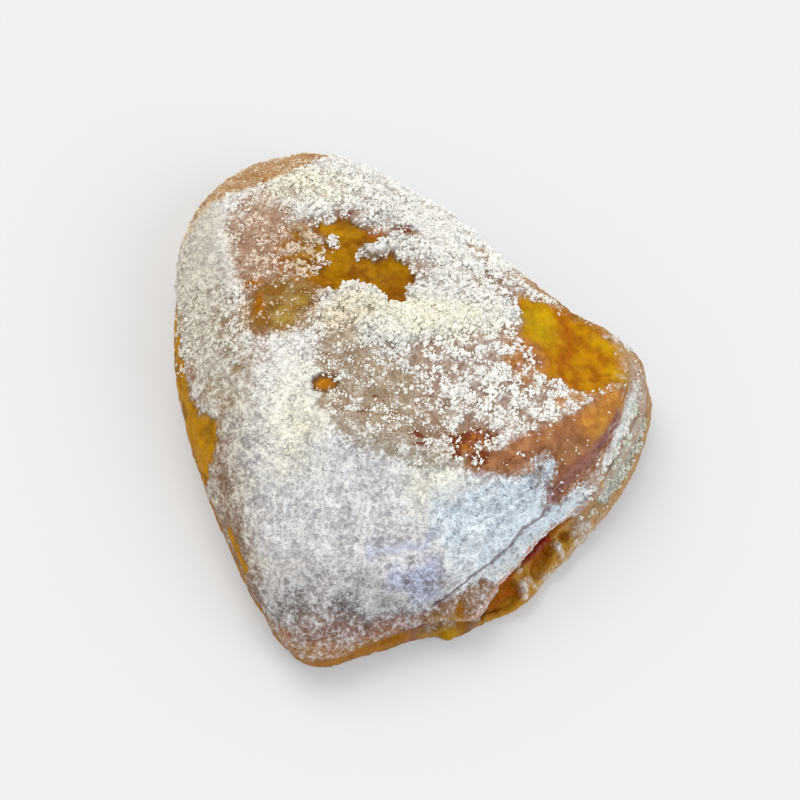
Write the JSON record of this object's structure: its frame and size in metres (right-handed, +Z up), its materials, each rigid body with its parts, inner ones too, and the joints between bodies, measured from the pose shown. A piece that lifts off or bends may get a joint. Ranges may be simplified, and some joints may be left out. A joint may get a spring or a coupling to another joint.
{
  "type": "apple puff pastry",
  "caption": "Triangular folded puff pastry with a rounded fold on one long side, open layered edges on the other two, a domed top and a pinched flange.",
  "frame": {"origin": "middle of the base's bounding box, on the surface the pastry rests on", "axes": "+Z up, away from the flat base; +Y along the long folded side, towards its rounder end; +X towards the corner where the two open edges meet; -Y is the front"},
  "size_m": [0.0984, 0.1176, 0.0353],
  "materials": {
    "crust": null
  },
  "bodies": {
    "root": {"pastry": "crust"}
  },
  "joints": []
}
